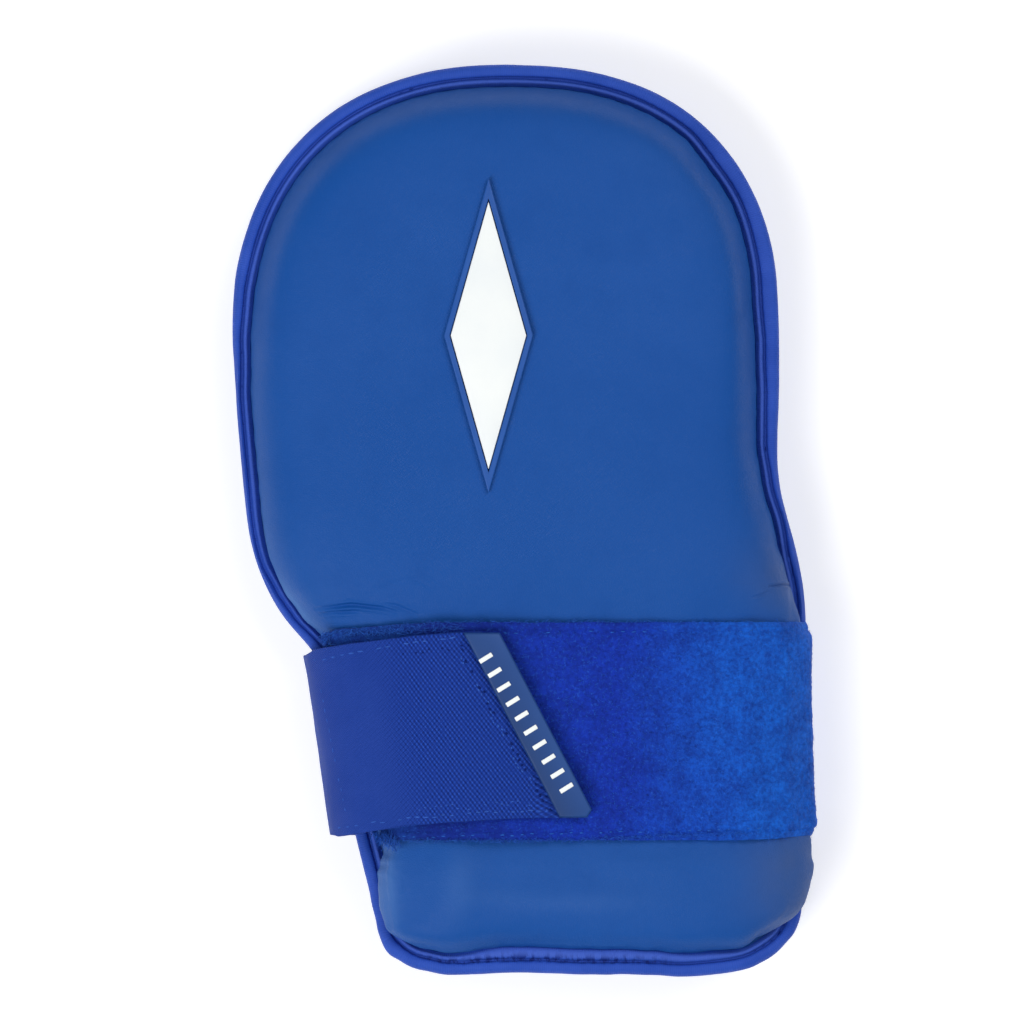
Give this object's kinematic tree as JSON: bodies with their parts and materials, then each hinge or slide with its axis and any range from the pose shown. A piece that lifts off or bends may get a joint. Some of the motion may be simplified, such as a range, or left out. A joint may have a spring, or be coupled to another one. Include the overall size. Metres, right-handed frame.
{
  "type": "sliding mitt",
  "caption": "Padded mitt for ball games, domed over the fingers and open at the wrist, with a broad loop band round the cuff and a hook strap with a slanted pull tab.",
  "frame": {"origin": "on the flat face that the mitt rests on, at the middle of its length and width", "axes": "+Y towards the fingertips, +Z out of the back of the hand, +X towards the side that the wrist band wraps round"},
  "size_m": [0.1712, 0.267, 0.0526],
  "materials": {
    "leather": "fine grain, satin",
    "binding_tape": "smooth stretch tape",
    "loop_pile": "fuzzy loop pile",
    "strap_webbing": "twill webbing",
    "tab_rubber": "moulded, matte",
    "emblem_blue": "moulded, satin",
    "emblem_white": "moulded, satin"
  },
  "bodies": {
    "root": {"back_pad": "leather", "palm_pad": "leather", "back_binding": "binding_tape", "palm_binding": "binding_tape", "wrist_band": "loop_pile", "hook_strap": "strap_webbing", "pull_tab": "tab_rubber", "emblem_rim": "emblem_blue", "emblem_face": "emblem_white"}
  },
  "joints": []
}
